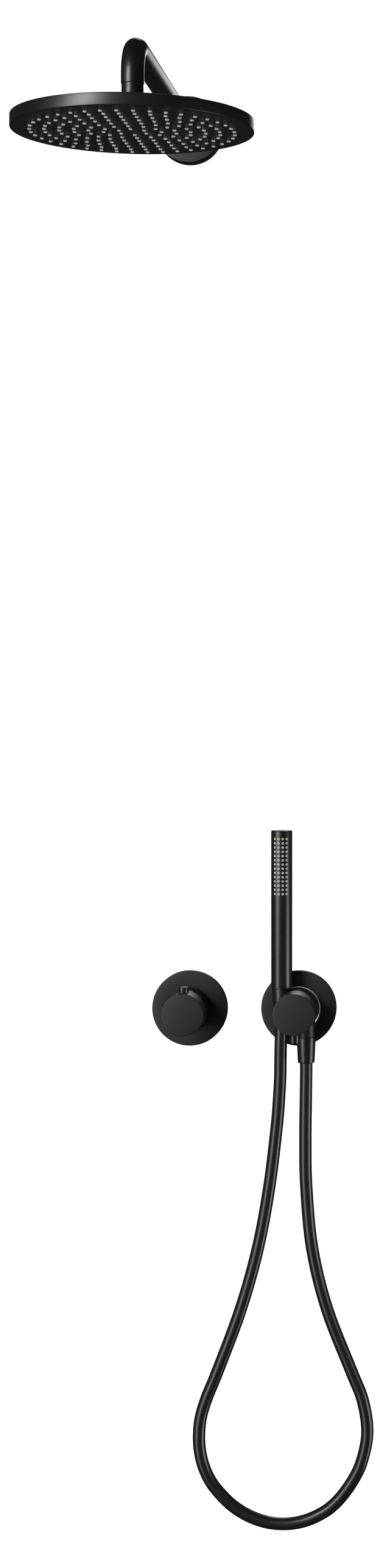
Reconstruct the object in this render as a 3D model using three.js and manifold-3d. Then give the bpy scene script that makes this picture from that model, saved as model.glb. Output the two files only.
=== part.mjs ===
// Concealed rain shower set: a wall arm with a rain head, a mixer, and a valve that feeds and holds
// a hand shower on a hose. Millimetres. Inside the model x runs right, y up and z out of the wall,
// with the origin on the wall at the mixer's axis. The finished group is turned so that +Z is up.
import * as THREE from 'three';
import { mergeGeometries, mergeVertices } from 'three/addons/utils/BufferGeometryUtils.js';
import Module from 'manifold-3d';

const wasm = await Module();
wasm.setup();

// Clearances
const seatGap = 0.3;
const runGap = 0.35;
const cutOver = 1;
const weldDistance = 0.0005;

// Sides of round pieces
const headSides = 48;
const plateSides = 32;
const knobSides = 32;
const pipeSides = 24;
const armSides = 18;
const coreSides = 20;
const innerSides = 14;
const smallSides = 10;

// Places on the wall
const armHeight = 1050.6;
const valveSpacing = 130.5;

// Shower arm
const armRadius = 12;
const armWall = 2.4;
const armProjection = 450;
const armBendRadius = 32;
const armStraight = 10;
const armStart = 5;
const armBendSteps = 8;

// Arm rosette and wall nipple
const armRosetteRadius = 39.5;
const armRosetteDepth = 20;
const rosetteWall = 2;
const edgeBreak = 0.5;
const gripRingWidth = 3.2;
const gripRingLength = 4;
const nippleThreadRadius = 10.4;
const nippleThreadLength = 18;
const nipplePlugLength = 16;
const nippleBoreRadius = 6.5;
const nippleCollarRadius = 13.5;
const armWasherWidth = 3.6;
const armWasherThickness = 1.7;

// Ball joint of the rain head
const studRadius = 11.4;
const studLength = 14.6;
const neckLength = 10;
const studNeckRadius = 6;
const studBoreRadius = 3.2;
const oRingThickness = 1.5;
const oRingLength = 2;
const ballRadius = 9;
const ballFloorGap = 0.65;
const ballArcSteps = 6;
const seatWidth = 4.05;
const unionNutWall = 3.3;
const unionNutLip = 2;
const unionNutRiseShare = 0.61;
const upperSeatBottomShare = 0.11;
const lowerSeatTopShare = 0.5;
const lowerSeatBottomShare = 0.89;
const bossWall = 2.2;

// Rain head
const headRadius = 125;
const headThickness = 12.65;
const shellThickness = 1.6;
const rimWall = 2.2;
const inletRadius = 5;
const regulatorThickness = 1;
const regulatorBoreRadius = 2.5;
const chamberCoverThickness = 1.5;
const chamberCoverDepth = 2.4;
const chamberLipWidth = 6;
const gasketWidth = 4;
const sprayPlateThickness = 1.8;
const nozzleMatThickness = 1.2;
const nozzleRingPitchShare = 0.12;
const nozzlesInRing = [6, 12, 18, 24, 30, 36, 40];
const nozzleBaseRadius = 2.1;
const nozzleTipRadius = 1.7;
const nozzleLength = 2.4;
const nozzleHoleGap = 0.4;
const nozzleSides = 5;

// Round trims on the wall
const rosetteRadius = 45;
const rosetteDepth = 8;
const trimRadius = 24.7;
const trimWall = 2;
const trimStart = 2;
const knobLength = 29.5;
const knobFrontThickness = 4;
const knobWall = 2.2;
const hubRadius = 8;
const hubInset = 5.5;
const wallSealWidth = 4;
const wallSealDepth = 5;
const pinRadius = 5.9;
const pinShankRadius = 3;
const pinShankLength = 6;
const mixerPinRise = 6.9;
const valvePinDrop = 10;
const grubRadius = 2;
const grubStand = 0.4;

// Cartridges and spindles
const spindleRadius = 4;
const spindleEndInset = 3;
const mixerCartridgeFront = 30;
const mixerCartridgeBack = 25;
const cartridgeNeckRadius = 9;
const cartridgeNeckLength = 10;
const spindleRoot = 8;
const cartridgeNutWidth = 3.2;
const cartridgeNutLength = 12;
const cartridgeNutFront = 28;
const housingWidth = 1.6;
const mixerHousingFront = 32;
const mixerHousingBack = 25;
const stopRingWidth = 7;
const stopRingLength = 6;
const valveCartridgeBack = 30;
const valveRecessDepth = 9;
const valveHousingWidth = 2.4;

// Holder and outlet in the valve body
const holderWall = 1.2;
const holderSideWall = 1.45;
const linerThickness = 0.8;
const linerHalfLength = 10;
const linerMouthStart = 3.7;
const bodyRecessWall = 4.2;
const bodyRecessDepth = 8;
const trimRingWidth = 0.6;
const trimRingRise = 0.4;
const waterwayRadius = 5;
const waterwayWall = 1.25;
const collarWall = 2.2;
const outletCollarEnd = 32.2;
const nippleSocketRadius = 8.3;
const nippleSocketDepth = 6.6;
const checkValveLength = 10;
const checkValveBoreRadius = 2;

// Hose and its conical nuts
const hoseRadius = 7.5;
const hoseSides = 9;
const hoseSteps = 38;
const spigotRadius = 9.6;
const nutTopWall = 1.5;
const nutBottomWall = 2.2;
const nutLength = 30.2;
const nutRound = 1;
const nutThreadDepth = 13.5;
const spigotLength = 9.6;
const washerThickness = 2;
const washerBoreRadius = 5.4;
const tailFlangeThickness = 1;
const tailBoreRadius = 4.5;

// Hand shower
const handsetLipWidth = 1.1;
const handsetWall = 1.5;
const handsetStand = 1.2;
const handsetLength = 188;
const handsetLip = 2;
const handsetCapThickness = 2;
const handsetCapPlug = 4;
const handsetFlangeLength = 6;
const limiterLength = 3;
const limiterBoreRadius = 1.5;
const insertThickness = 1.2;
const insertDrop = 6.9;
const insertLength = 73;
const insertHalfAngle = 0.85;
const insertSteps = 8;

// Sizes that follow from the ones above
const armDrop = armBendRadius + armStraight;
const ballDrop = armDrop + seatGap + studLength + neckLength;
const headDrop = ballDrop + ballRadius + ballFloorGap + regulatorThickness + seatGap;
const unionNutBore = ballRadius + runGap + seatWidth + seatGap;
const unionNutRise = ballRadius * unionNutRiseShare;
const trimBore = trimRadius - trimWall;
const housingBore = trimBore - seatGap - housingWidth;
const cartridgeRadius = housingBore - seatGap - cartridgeNutWidth - seatGap;
const valveRecessRadius = cartridgeRadius + seatGap + valveHousingWidth + seatGap;
const nutTopRadius = spigotRadius + seatGap + nutTopWall;
const nutBottomRadius = hoseRadius + seatGap + nutBottomWall;
const shaftBoreRadius = spindleRadius + runGap;
const holderReach = nutTopRadius + seatGap + linerThickness + seatGap;
const holderOffset = shaftBoreRadius + holderSideWall + holderReach;
const holderDepth = trimStart + valveRecessDepth + holderWall + holderReach;
const outletOffset = shaftBoreRadius + waterwayWall + waterwayRadius;
const outletCollarRadius = nippleSocketRadius + collarWall;
const bodyEnd = holderDepth + holderReach + holderWall + bodyRecessDepth;
const knobBack = bodyEnd + runGap;
const knobFrontDepth = knobBack + knobLength;
const handsetRadius = spigotRadius + seatGap + handsetLipWidth + handsetWall;
const handsetBottom = trimRadius + handsetStand;
const handsetTop = handsetBottom + handsetLength;

// Route of the hose, right and up from the mixer's axis, in a plane that is holderDepth off the wall
const hoseRoute = [
  [111.9, -4.9], [111.5, -18], [110.8, -40], [110.4, -62], [110.1, -80], [108.8, -104], [106, -138.7],
  [97.1, -211], [83.5, -284], [63.3, -356], [36.1, -429], [22.3, -463], [15.3, -487],
  [13.4, -508.6], [14.8, -527], [19.4, -545], [27.5, -562],
  [38.3, -576], [52, -589.5], [66.8, -599.6], [81.3, -606.3], [95.8, -610.5], [110.5, -612.2],
  [125, -611.6], [139.5, -608.6], [153.9, -602.8], [168.5, -594], [182.9, -580], [197.4, -559.4],
  [207.6, -537], [213.9, -503], [208.4, -465], [194.3, -429], [165.8, -356], [148.2, -284],
  [141.2, -211], [140.1, -157], [140.7, -102.5], [141.1, -75], [141.1, -63],
];

// Finishes
function finish(color, roughness, metalness) {
  return new THREE.MeshStandardMaterial({ color, roughness, metalness });
}


const black = () => finish(0x1b1b1c, 0.42, 0.35);
const brightRing = () => finish(0xc9c9cb, 0.2, 1);
const brass = () => finish(0xb08d4a, 0.35, 1);
const steel = () => finish(0x9a9c9e, 0.35, 1);
const plastic = () => finish(0x2a2c2e, 0.6, 0);
const palePlastic = () => finish(0xd8d5cb, 0.5, 0);
const rubber = () => finish(0x17181a, 0.85, 0);
const hoseBlack = () => finish(0x1d1d1e, 0.35, 0);
const silicone = () => finish(0xb0aca6, 0.6, 0);

const shower = new THREE.Group();

function group(x, y, z, parent = shower) {
  const place = new THREE.Group();
  place.position.set(x, y, z);
  parent.add(place);
  return place;
}

function piece(parent, name, geometry, material) {
  const shape = closed(geometry);
  shape.computeVertexNormals();
  const mesh = new THREE.Mesh(shape, material);
  mesh.name = name;
  parent.add(mesh);
  return mesh;
}

// Positions only, shared corners, no flat triangles and the faces pointing out
function closed(geometry) {
  const bare = geometry.clone();
  for (const name of Object.keys(bare.attributes)) {
    if (name !== 'position') bare.deleteAttribute(name);
  }
  const merged = mergeVertices(bare, weldDistance);
  const corner = merged.attributes.position;
  const index = [];
  const a = new THREE.Vector3();
  const b = new THREE.Vector3();
  const c = new THREE.Vector3();
  let volume = 0;
  for (let i = 0; i < merged.index.count; i += 3) {
    const [p, q, r] = [0, 1, 2].map((step) => merged.index.getX(i + step));
    if (p === q || q === r || r === p) continue;
    index.push(p, q, r);
    a.fromBufferAttribute(corner, p);
    b.fromBufferAttribute(corner, q);
    c.fromBufferAttribute(corner, r);
    volume += a.dot(b.cross(c));
  }
  if (volume < 0) index.reverse();
  merged.setIndex(index);
  return merged;
}

function solid(geometry) {
  const shape = closed(geometry);
  const vertProperties = shape.attributes.position.array;
  const triVerts = new Uint32Array(shape.index.array);
  return new wasm.Manifold(new wasm.Mesh({ numProp: 3, vertProperties, triVerts }));
}

function geometryOf(manifold) {
  const mesh = manifold.getMesh();
  const geometry = new THREE.BufferGeometry();
  geometry.setAttribute('position', new THREE.BufferAttribute(mesh.vertProperties, 3));
  geometry.setIndex(new THREE.BufferAttribute(mesh.triVerts, 1));
  return geometry;
}

const joined = (first, ...rest) => rest.reduce((sum, geometry) => sum.add(solid(geometry)), solid(first));
const cut = (body, ...tools) => tools.reduce((sum, geometry) => sum.subtract(solid(geometry)), body);

// A profile of [radius, height] corners turned about the upright axis
function turned(profile, sides) {
  const points = profile.map(([radius, height]) => new THREE.Vector2(radius, height));
  return new THREE.LatheGeometry(points, sides);
}

// The same, turned about the axis that points out of the wall
const turnedOut = (profile, sides) => turned(profile, sides).rotateX(Math.PI / 2);

function ringProfile(inner, outer, low, high) {
  return [[inner, low], [outer, low], [outer, high], [inner, high], [inner, low]];
}

function rodProfile(radius, low, high) {
  return [[0, low], [radius, low], [radius, high], [0, high]];
}

function ballArc(radius, centre, fromHeight, toHeight) {
  const arc = [];
  for (let i = 0; i <= ballArcSteps; i += 1) {
    const height = fromHeight + ((toHeight - fromHeight) * i) / ballArcSteps;
    arc.push([Math.sqrt(radius * radius - height * height), centre + height]);
  }
  return arc;
}

// A path whose stations are given, each with the direction of travel there
class StationPath extends THREE.Curve {
  constructor(stations) {
    super();
    this.stations = stations;
  }

  stationAt(u) {
    return this.stations[Math.round(u * (this.stations.length - 1))];
  }

  getPointAt(u) {
    return this.stationAt(u).point.clone();
  }

  getTangentAt(u) {
    return this.stationAt(u).heading.clone();
  }
}

function circleShape(radius, sides, inner) {
  const corners = (r) => Array.from({ length: sides }, (unused, i) => {
    const angle = (2 * Math.PI * i) / sides;
    return new THREE.Vector2(r * Math.cos(angle), r * Math.sin(angle));
  });
  const shape = new THREE.Shape(corners(radius));
  if (inner) shape.holes.push(new THREE.Path(corners(inner)));
  return shape;
}

// A shallow round cover with an open back and a hole for what passes through it
function rosetteShape(radius, depth, holeRadius, sides) {
  const inside = radius - rosetteWall;
  const plate = depth - rosetteWall;
  return turnedOut([
    [holeRadius, plate], [inside, plate], [inside, 0], [radius, 0], [radius, depth - edgeBreak],
    [radius - edgeBreak, depth], [holeRadius, depth], [holeRadius, plate],
  ], sides);
}

// Wall arm: the bent tube, its rosette, and the threaded nipple that goes into the wall
function buildArm() {
  const place = group(0, armHeight, 0);
  const armBore = armRadius - armWall;
  const bendStart = armProjection - armBendRadius;
  const stations = [{ point: new THREE.Vector3(0, 0, armStart), heading: new THREE.Vector3(0, 0, 1) }];
  for (let i = 0; i <= armBendSteps; i += 1) {
    const angle = (Math.PI / 2) * (i / armBendSteps);
    stations.push({
      point: new THREE.Vector3(
        0,
        armBendRadius * (Math.cos(angle) - 1),
        bendStart + armBendRadius * Math.sin(angle),
      ),
      heading: new THREE.Vector3(0, -Math.sin(angle), Math.cos(angle)),
    });
  }
  const lastPoint = new THREE.Vector3(0, -armDrop, armProjection);
  stations.push({ point: lastPoint, heading: new THREE.Vector3(0, -1, 0) });
  const tube = new THREE.ExtrudeGeometry(circleShape(armRadius, armSides, armBore), {
    steps: stations.length - 1,
    extrudePath: new StationPath(stations),
  });
  piece(place, 'shower_arm', tube, black());

  const holeRadius = armRadius + seatGap;
  const rosette = rosetteShape(armRosetteRadius, armRosetteDepth, holeRadius, plateSides);
  piece(place, 'arm_rosette', rosette, black());
  const gripTop = armRosetteDepth - rosetteWall - seatGap;
  const gripRing = ringProfile(holeRadius, holeRadius + gripRingWidth, gripTop - gripRingLength, gripTop);
  piece(place, 'arm_grip_ring', turnedOut(gripRing, innerSides), rubber());

  const plugRadius = armBore - seatGap;
  const collarTop = armStart - seatGap;
  const collarBottom = 2 * seatGap + armWasherThickness;
  piece(place, 'arm_wall_nipple', turnedOut([
    [nippleBoreRadius, -nippleThreadLength], [nippleThreadRadius - edgeBreak, -nippleThreadLength],
    [nippleThreadRadius, edgeBreak - nippleThreadLength], [nippleThreadRadius, collarBottom],
    [nippleCollarRadius, collarBottom], [nippleCollarRadius, collarTop], [plugRadius, collarTop],
    [plugRadius, collarTop + nipplePlugLength], [nippleBoreRadius, collarTop + nipplePlugLength],
    [nippleBoreRadius, -nippleThreadLength],
  ], innerSides), brass());
  const washerInner = nippleThreadRadius + seatGap;
  const washerTop = seatGap + armWasherThickness;
  const washer = ringProfile(washerInner, washerInner + armWasherWidth, seatGap, washerTop);
  piece(place, 'arm_wall_washer', turnedOut(washer, innerSides), rubber());
}

// Ball joint under the arm, and the rain head that tilts on it
function buildHead() {
  const place = group(0, armHeight, armProjection);
  const centre = -ballDrop;
  const studTop = -armDrop - seatGap;
  const studBottom = studTop - studLength;
  const shankRadius = armRadius - armWall - runGap;
  const shankTop = studTop + armStraight;
  const grooveTop = studTop + armStraight / 2;
  const grooveBottom = grooveTop - oRingLength - 2 * seatGap;
  const grooveRadius = shankRadius - oRingThickness - seatGap;
  const neckRise = Math.sqrt(ballRadius ** 2 - studNeckRadius ** 2);
  const outlet = Math.sqrt(ballRadius ** 2 - studBoreRadius ** 2);
  piece(place, 'head_ball_stud', turned([
    [studBoreRadius, shankTop], [shankRadius, shankTop], [shankRadius, grooveTop], [grooveRadius, grooveTop],
    [grooveRadius, grooveBottom], [shankRadius, grooveBottom], [shankRadius, studTop], [studRadius, studTop],
    [studRadius, studBottom], [studNeckRadius, studBottom], ...ballArc(ballRadius, centre, neckRise, -outlet),
    [studBoreRadius, shankTop],
  ], innerSides), black());
  const oRing = ringProfile(
    grooveRadius + seatGap, shankRadius, grooveBottom + seatGap, grooveBottom + seatGap + oRingLength,
  );
  piece(place, 'stud_o_ring', turned(oRing, innerSides), rubber());

  const headTop = -headDrop;
  const nutBore = unionNutBore;
  const unionNutRadius = unionNutBore + unionNutWall;
  const lipBottom = unionNutRise - unionNutLip;
  const lipRadius = Math.sqrt(ballRadius ** 2 - lipBottom ** 2) + runGap;
  piece(place, 'head_union_nut', turned([
    [nutBore, headTop + seatGap], [unionNutRadius, headTop + seatGap],
    [unionNutRadius, centre + unionNutRise - edgeBreak], [unionNutRadius - edgeBreak, centre + unionNutRise],
    [lipRadius, centre + unionNutRise], [lipRadius, centre + lipBottom], [nutBore, centre + lipBottom],
    [nutBore, headTop + seatGap],
  ], pipeSides), black());

  const seatBall = ballRadius + runGap;
  const upperTop = lipBottom - seatGap;
  const upperSeatBottom = ballRadius * upperSeatBottomShare;
  const upperOuter = nutBore - seatGap;
  piece(place, 'ball_seat_upper', turned([
    [upperOuter, centre + upperSeatBottom], [upperOuter, centre + upperTop],
    ...ballArc(seatBall, centre, upperTop, upperSeatBottom), [upperOuter, centre + upperSeatBottom],
  ], innerSides), palePlastic());

  const lowerSeatTop = ballRadius * lowerSeatTopShare;
  const lowerSeatBottom = ballRadius * lowerSeatBottomShare;
  const bossRadius = nutBore - seatGap;
  const bossBore = bossRadius - bossWall;
  const bossTop = centre - lowerSeatTop;
  const floor = headTop + seatGap + regulatorThickness;
  const lowerBottom = floor + seatGap;
  const lowerOuter = bossBore - seatGap;
  const seatOpening = Math.sqrt(seatBall ** 2 - lowerSeatBottom ** 2);
  piece(place, 'ball_seat_lower', turned([
    [seatOpening, lowerBottom], [lowerOuter, lowerBottom], [lowerOuter, bossTop],
    ...ballArc(seatBall, centre, -lowerSeatTop, -lowerSeatBottom), [seatOpening, lowerBottom],
  ], innerSides), palePlastic());
  const regulator = ringProfile(regulatorBoreRadius, lowerOuter, headTop + seatGap, floor);
  piece(place, 'head_flow_regulator', turned(regulator, innerSides), palePlastic());

  const rimInner = headRadius - rimWall;
  const shellUnder = headTop - shellThickness;
  const headBottom = headTop - headThickness;
  piece(place, 'head_shell', turned([
    [inletRadius, shellUnder], [rimInner, shellUnder], [rimInner, headBottom], [headRadius, headBottom],
    [headRadius, headTop - edgeBreak], [headRadius - edgeBreak, headTop], [bossRadius, headTop],
    [bossRadius, bossTop], [bossBore, bossTop], [bossBore, headTop], [inletRadius, headTop],
    [inletRadius, shellUnder],
  ], headSides), black());

  const inner = rimInner - seatGap;
  const coverTop = shellUnder - seatGap;
  const coverUnder = coverTop - chamberCoverThickness;
  const coverBottom = coverUnder - chamberCoverDepth;
  piece(place, 'chamber_cover', turned([
    [inletRadius, coverUnder], [inner - chamberLipWidth, coverUnder], [inner - chamberLipWidth, coverBottom],
    [inner, coverBottom], [inner, coverTop], [inletRadius, coverTop], [inletRadius, coverUnder],
  ], plateSides), plastic());

  const plateTop = headBottom + sprayPlateThickness;
  const matBottom = plateTop + seatGap;
  const matTop = matBottom + nozzleMatThickness;
  const gasket = ringProfile(inner - gasketWidth, inner, matTop + seatGap, coverBottom - seatGap);
  piece(place, 'chamber_gasket', turned(gasket, plateSides), rubber());

  const tip = headBottom - nozzleLength;
  const nozzles = nozzleField(nozzleBaseRadius, nozzleTipRadius, tip, matTop - nozzleMatThickness / 2);
  const mat = turned(rodProfile(inner, matBottom, matTop), plateSides);
  piece(place, 'nozzle_mat', geometryOf(joined(mat, nozzles)), silicone());
  const holeRadius = nozzleBaseRadius + nozzleHoleGap;
  const holes = nozzleField(holeRadius, holeRadius, headBottom - cutOver, plateTop + cutOver);
  const plate = turned(rodProfile(inner, headBottom, plateTop), headSides);
  piece(place, 'spray_plate', geometryOf(cut(solid(plate), holes)), black());
}

// One tapered post for each nozzle, in rings about the middle of the head
function nozzleField(upperRadius, lowerRadius, low, high) {
  const posts = [];
  nozzlesInRing.forEach((count, ring) => {
    const reach = headRadius * nozzleRingPitchShare * (ring + 1);
    for (let i = 0; i < count; i += 1) {
      const angle = (2 * Math.PI * i) / count;
      const post = new THREE.CylinderGeometry(upperRadius, lowerRadius, high - low, nozzleSides);
      post.translate(reach * Math.sin(angle), (low + high) / 2, reach * Math.cos(angle));
      posts.push(post);
    }
  });
  return mergeGeometries(posts);
}

// A knob: an open cup whose hub takes the spindle, with a pin screwed in through its side
function buildKnob(place, prefix, pinUp, pinRise) {
  const back = knobBack;
  const middle = knobFrontDepth - knobLength / 2;
  const plate = knobFrontDepth - knobFrontThickness;
  const boreRadius = spindleRadius + seatGap;
  const hubBack = back + hubInset;
  const cup = turnedOut([
    [0, knobFrontDepth], [trimRadius - edgeBreak, knobFrontDepth], [trimRadius, knobFrontDepth - edgeBreak],
    [trimRadius, back], [trimRadius - knobWall, back], [trimRadius - knobWall, plate], [hubRadius, plate],
    [hubRadius, hubBack], [boreRadius, hubBack], [boreRadius, plate], [0, plate],
  ], knobSides);
  const upright = (radius, low, high, sides) => {
    const rod = turned(rodProfile(radius, low, high), sides).translate(0, 0, middle);
    return pinUp ? rod : rod.rotateZ(Math.PI);
  };
  const shankHole = upright(pinShankRadius + seatGap, hubRadius + cutOver, trimRadius + cutOver, smallSides);
  const grubHole = upright(grubRadius + seatGap, 0, hubRadius + cutOver / 2, smallSides);
  const knob = cut(solid(cup), shankHole, grubHole);
  piece(place, `${prefix}_knob`, geometryOf(knob), black());

  const drumProfile = rodProfile(trimRadius + seatGap, back - cutOver, knobFrontDepth + cutOver);
  const drum = turnedOut(drumProfile, knobSides);
  const pinHead = cut(solid(upright(pinRadius, trimRadius / 2, trimRadius + pinRise, pipeSides)), drum);
  const shankBottom = trimRadius - pinShankLength;
  const shank = upright(pinShankRadius, shankBottom, trimRadius + pinRise / 2, smallSides);
  piece(place, `${prefix}_pin`, geometryOf(pinHead.add(solid(shank))), black());

  const grub = upright(grubRadius, spindleRadius + seatGap, hubRadius - grubStand, smallSides);
  piece(place, `${prefix}_grub_screw`, grub, steel());
  return { tip: plate - spindleEndInset };
}

function buildSpindle(place, prefix, root, tip) {
  piece(place, `${prefix}_spindle`, turnedOut(rodProfile(spindleRadius, root, tip), innerSides), brass());
}

function buildWallSeal(place, prefix) {
  const outer = rosetteRadius - rosetteWall - seatGap;
  const seal = ringProfile(outer - wallSealWidth, outer, seatGap, seatGap + wallSealDepth);
  piece(place, `${prefix}_wall_seal`, turnedOut(seal, coreSides), rubber());
}

// Mixer: rosette, fixed sleeve, turning knob, and the cartridge in its housing
function buildMixer() {
  const place = group(0, 0, 0);
  const rosette = rosetteShape(rosetteRadius, rosetteDepth, trimRadius + seatGap, plateSides);
  piece(place, 'mixer_rosette', rosette, black());
  buildWallSeal(place, 'mixer');
  const sleeve = ringProfile(trimBore, trimRadius, trimStart, bodyEnd);
  piece(place, 'mixer_sleeve', turnedOut(sleeve, knobSides), black());

  const housingOuter = trimBore - seatGap;
  const housing = ringProfile(housingBore, housingOuter, -mixerHousingBack, mixerHousingFront);
  piece(place, 'mixer_housing', turnedOut(housing, coreSides), brass());
  const nutOuter = housingBore - seatGap;
  const nutInner = cartridgeRadius + seatGap;
  const clampNut = ringProfile(nutInner, nutOuter, cartridgeNutFront - cartridgeNutLength, cartridgeNutFront);
  piece(place, 'mixer_cartridge_nut', turnedOut(clampNut, coreSides), brass());

  const boreRadius = shaftBoreRadius;
  const neckFront = mixerCartridgeFront + cartridgeNeckLength;
  const root = neckFront - spindleRoot - cartridgeNeckLength;
  piece(place, 'mixer_cartridge', turnedOut([
    [0, -mixerCartridgeBack], [cartridgeRadius, -mixerCartridgeBack], [cartridgeRadius, mixerCartridgeFront],
    [cartridgeNeckRadius, mixerCartridgeFront], [cartridgeNeckRadius, neckFront], [boreRadius, neckFront],
    [boreRadius, root], [0, root],
  ], coreSides), palePlastic());
  const ringInner = cartridgeNeckRadius + seatGap;
  const ringLow = mixerCartridgeFront + seatGap;
  const stopRing = ringProfile(ringInner, ringInner + stopRingWidth, ringLow, ringLow + stopRingLength);
  piece(place, 'temperature_stop_ring', turnedOut(stopRing, innerSides), plastic());

  const { tip } = buildKnob(place, 'mixer', true, mixerPinRise);
  buildSpindle(place, 'mixer', root + seatGap, tip);
}

// Radius of a hose nut at a height below its top
const nutRadiusAt = (below) => nutTopRadius - ((nutTopRadius - nutBottomRadius) * below) / nutLength;

// Valve: its body holds the hand shower on the left and feeds the hose on the right
function buildValve() {
  const place = group(valveSpacing, 0, 0);
  const ringInner = trimRadius + seatGap;
  const ringOuter = ringInner + trimRingWidth;
  const rosette = rosetteShape(rosetteRadius, rosetteDepth, ringOuter + seatGap, plateSides);
  piece(place, 'valve_rosette', rosette, black());
  buildWallSeal(place, 'valve');
  const trimRing = ringProfile(ringInner, ringOuter, trimStart, rosetteDepth + trimRingRise);
  piece(place, 'valve_trim_ring', turnedOut(trimRing, knobSides), brightRing());

  const holder = (profile, sides) => turned(profile, sides).translate(-holderOffset, 0, holderDepth);
  const outlet = (profile, sides) => turned(profile, sides).translate(outletOffset, 0, holderDepth);
  const nutTop = handsetBottom - seatGap;
  const coneRadius = (height, extra) => nutRadiusAt(nutTop - height) + extra;
  const cone = (extra, low, high) => [
    [0, low], [coneRadius(low, extra), low], [coneRadius(high, extra), high], [0, high],
  ];
  const bodyExtra = 2 * seatGap + linerThickness;
  const shaftBore = turnedOut(rodProfile(shaftBoreRadius, 0, knobFrontDepth), innerSides);
  const frontRecess = turnedOut(
    rodProfile(trimRadius - bodyRecessWall, bodyEnd - bodyRecessDepth, bodyEnd + cutOver), coreSides,
  );
  const backRecess = turnedOut(rodProfile(valveRecessRadius, 0, trimStart + valveRecessDepth), coreSides);
  const feed = turnedOut(rodProfile(waterwayRadius, 0, holderDepth), smallSides);
  feed.translate(outletOffset, 0, 0);
  const drop = outlet(rodProfile(waterwayRadius, -outletCollarEnd, 0), smallSides);
  const socketTop = nippleSocketDepth - outletCollarEnd;
  const socket = outlet(rodProfile(nippleSocketRadius, -outletCollarEnd - cutOver, socketTop), innerSides);
  const drum = turnedOut(rodProfile(trimRadius, trimStart, bodyEnd), knobSides);
  const collar = outlet(rodProfile(outletCollarRadius, -outletCollarEnd, 0), pipeSides);
  const body = cut(
    joined(drum, collar), holder(cone(bodyExtra, -trimRadius - cutOver, trimRadius + cutOver), pipeSides),
    shaftBore, frontRecess, backRecess, feed, drop, socket,
  );
  piece(place, 'valve_body', geometryOf(body), black());

  const linerOuter = holder(cone(seatGap + linerThickness, -linerHalfLength, linerHalfLength), pipeSides);
  const linerInner = holder(cone(seatGap, -trimRadius, trimRadius), pipeSides);
  const mouth = new THREE.BoxGeometry(2 * holderOffset, 2 * trimRadius, 2 * trimRadius);
  mouth.translate(-2 * holderOffset - linerMouthStart, 0, holderDepth);
  const liner = cut(solid(linerOuter), linerInner, mouth);
  piece(place, 'holder_liner', geometryOf(liner), plastic());

  const backEdge = trimStart + valveRecessDepth - seatGap;
  const cartridgeFront = backEdge;
  piece(place, 'valve_cartridge', turnedOut([
    [0, -valveCartridgeBack], [cartridgeRadius, -valveCartridgeBack], [cartridgeRadius, cartridgeFront],
    [shaftBoreRadius, cartridgeFront], [shaftBoreRadius, -spindleRoot], [0, -spindleRoot],
  ], coreSides), palePlastic());
  const housing = ringProfile(
    cartridgeRadius + seatGap, cartridgeRadius + seatGap + valveHousingWidth, -valveCartridgeBack, backEdge,
  );
  piece(place, 'valve_housing', turnedOut(housing, coreSides), brass());
  const recessFloor = bodyEnd - bodyRecessDepth + seatGap;
  const stopInner = cartridgeNeckRadius + seatGap;
  const stopOuter = stopInner + stopRingWidth;
  const stopRing = ringProfile(stopInner, stopOuter, recessFloor, recessFloor + stopRingLength);
  piece(place, 'valve_stop_ring', turnedOut(stopRing, innerSides), plastic());

  const nippleTop = socketTop - seatGap;
  const nippleShoulder = -outletCollarEnd - seatGap;
  const nippleEnd = nippleShoulder - spigotLength;
  const nippleUpper = nippleSocketRadius - seatGap;
  piece(place, 'outlet_nipple', outlet([
    [waterwayRadius, nippleEnd], [spigotRadius, nippleEnd], [spigotRadius, nippleShoulder],
    [nippleUpper, nippleShoulder], [nippleUpper, nippleTop], [waterwayRadius, nippleTop],
    [waterwayRadius, nippleEnd],
  ], innerSides), brass());
  const checkLow = nippleEnd + seatGap;
  const checkOuter = waterwayRadius - seatGap;
  piece(place, 'check_valve', outlet([
    [checkValveBoreRadius, checkLow], [checkOuter, checkLow], [checkOuter, checkLow + checkValveLength],
    [checkValveBoreRadius, checkLow + checkValveLength], [checkValveBoreRadius, checkLow],
  ], smallSides), palePlastic());

  const { tip } = buildKnob(place, 'valve', false, valvePinDrop);
  buildSpindle(place, 'valve', seatGap - spindleRoot, tip);
  buildHoseEnd(outlet, place, 'outlet', nippleShoulder);
  buildHoseEnd(holder, place, 'handset', nutTop);
  buildHandset(holder, place, nutTop);
}

// One end of the hose: the conical nut, its washer, and the tail that the hose is crimped on
function buildHoseEnd(along, place, prefix, top) {
  const bottom = top - nutLength;
  const shoulder = top - nutThreadDepth;
  const lowerBore = hoseRadius + seatGap;
  const threadRadius = spigotRadius + seatGap;
  piece(place, `${prefix}_hose_nut`, along([
    [lowerBore, bottom], [nutBottomRadius - nutRound, bottom],
    [nutRadiusAt(nutLength - nutRound), bottom + nutRound], [nutTopRadius, top],
    [threadRadius, top], [threadRadius, shoulder], [lowerBore, shoulder], [lowerBore, bottom],
  ], pipeSides), black());
  const washerTop = top - spigotLength - seatGap;
  const washerLow = washerTop - washerThickness;
  const washer = ringProfile(washerBoreRadius, spigotRadius, washerLow, washerTop);
  piece(place, `${prefix}_washer`, along(washer, innerSides), rubber());
  const flangeTop = washerLow - seatGap;
  const flangeLow = flangeTop - tailFlangeThickness;
  const stem = hoseRadius - seatGap;
  piece(place, `${prefix}_hose_tail`, along([
    [tailBoreRadius, bottom], [stem, bottom], [stem, flangeLow], [spigotRadius, flangeLow],
    [spigotRadius, flangeTop], [tailBoreRadius, flangeTop], [tailBoreRadius, bottom],
  ], innerSides), brass());
}

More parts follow.
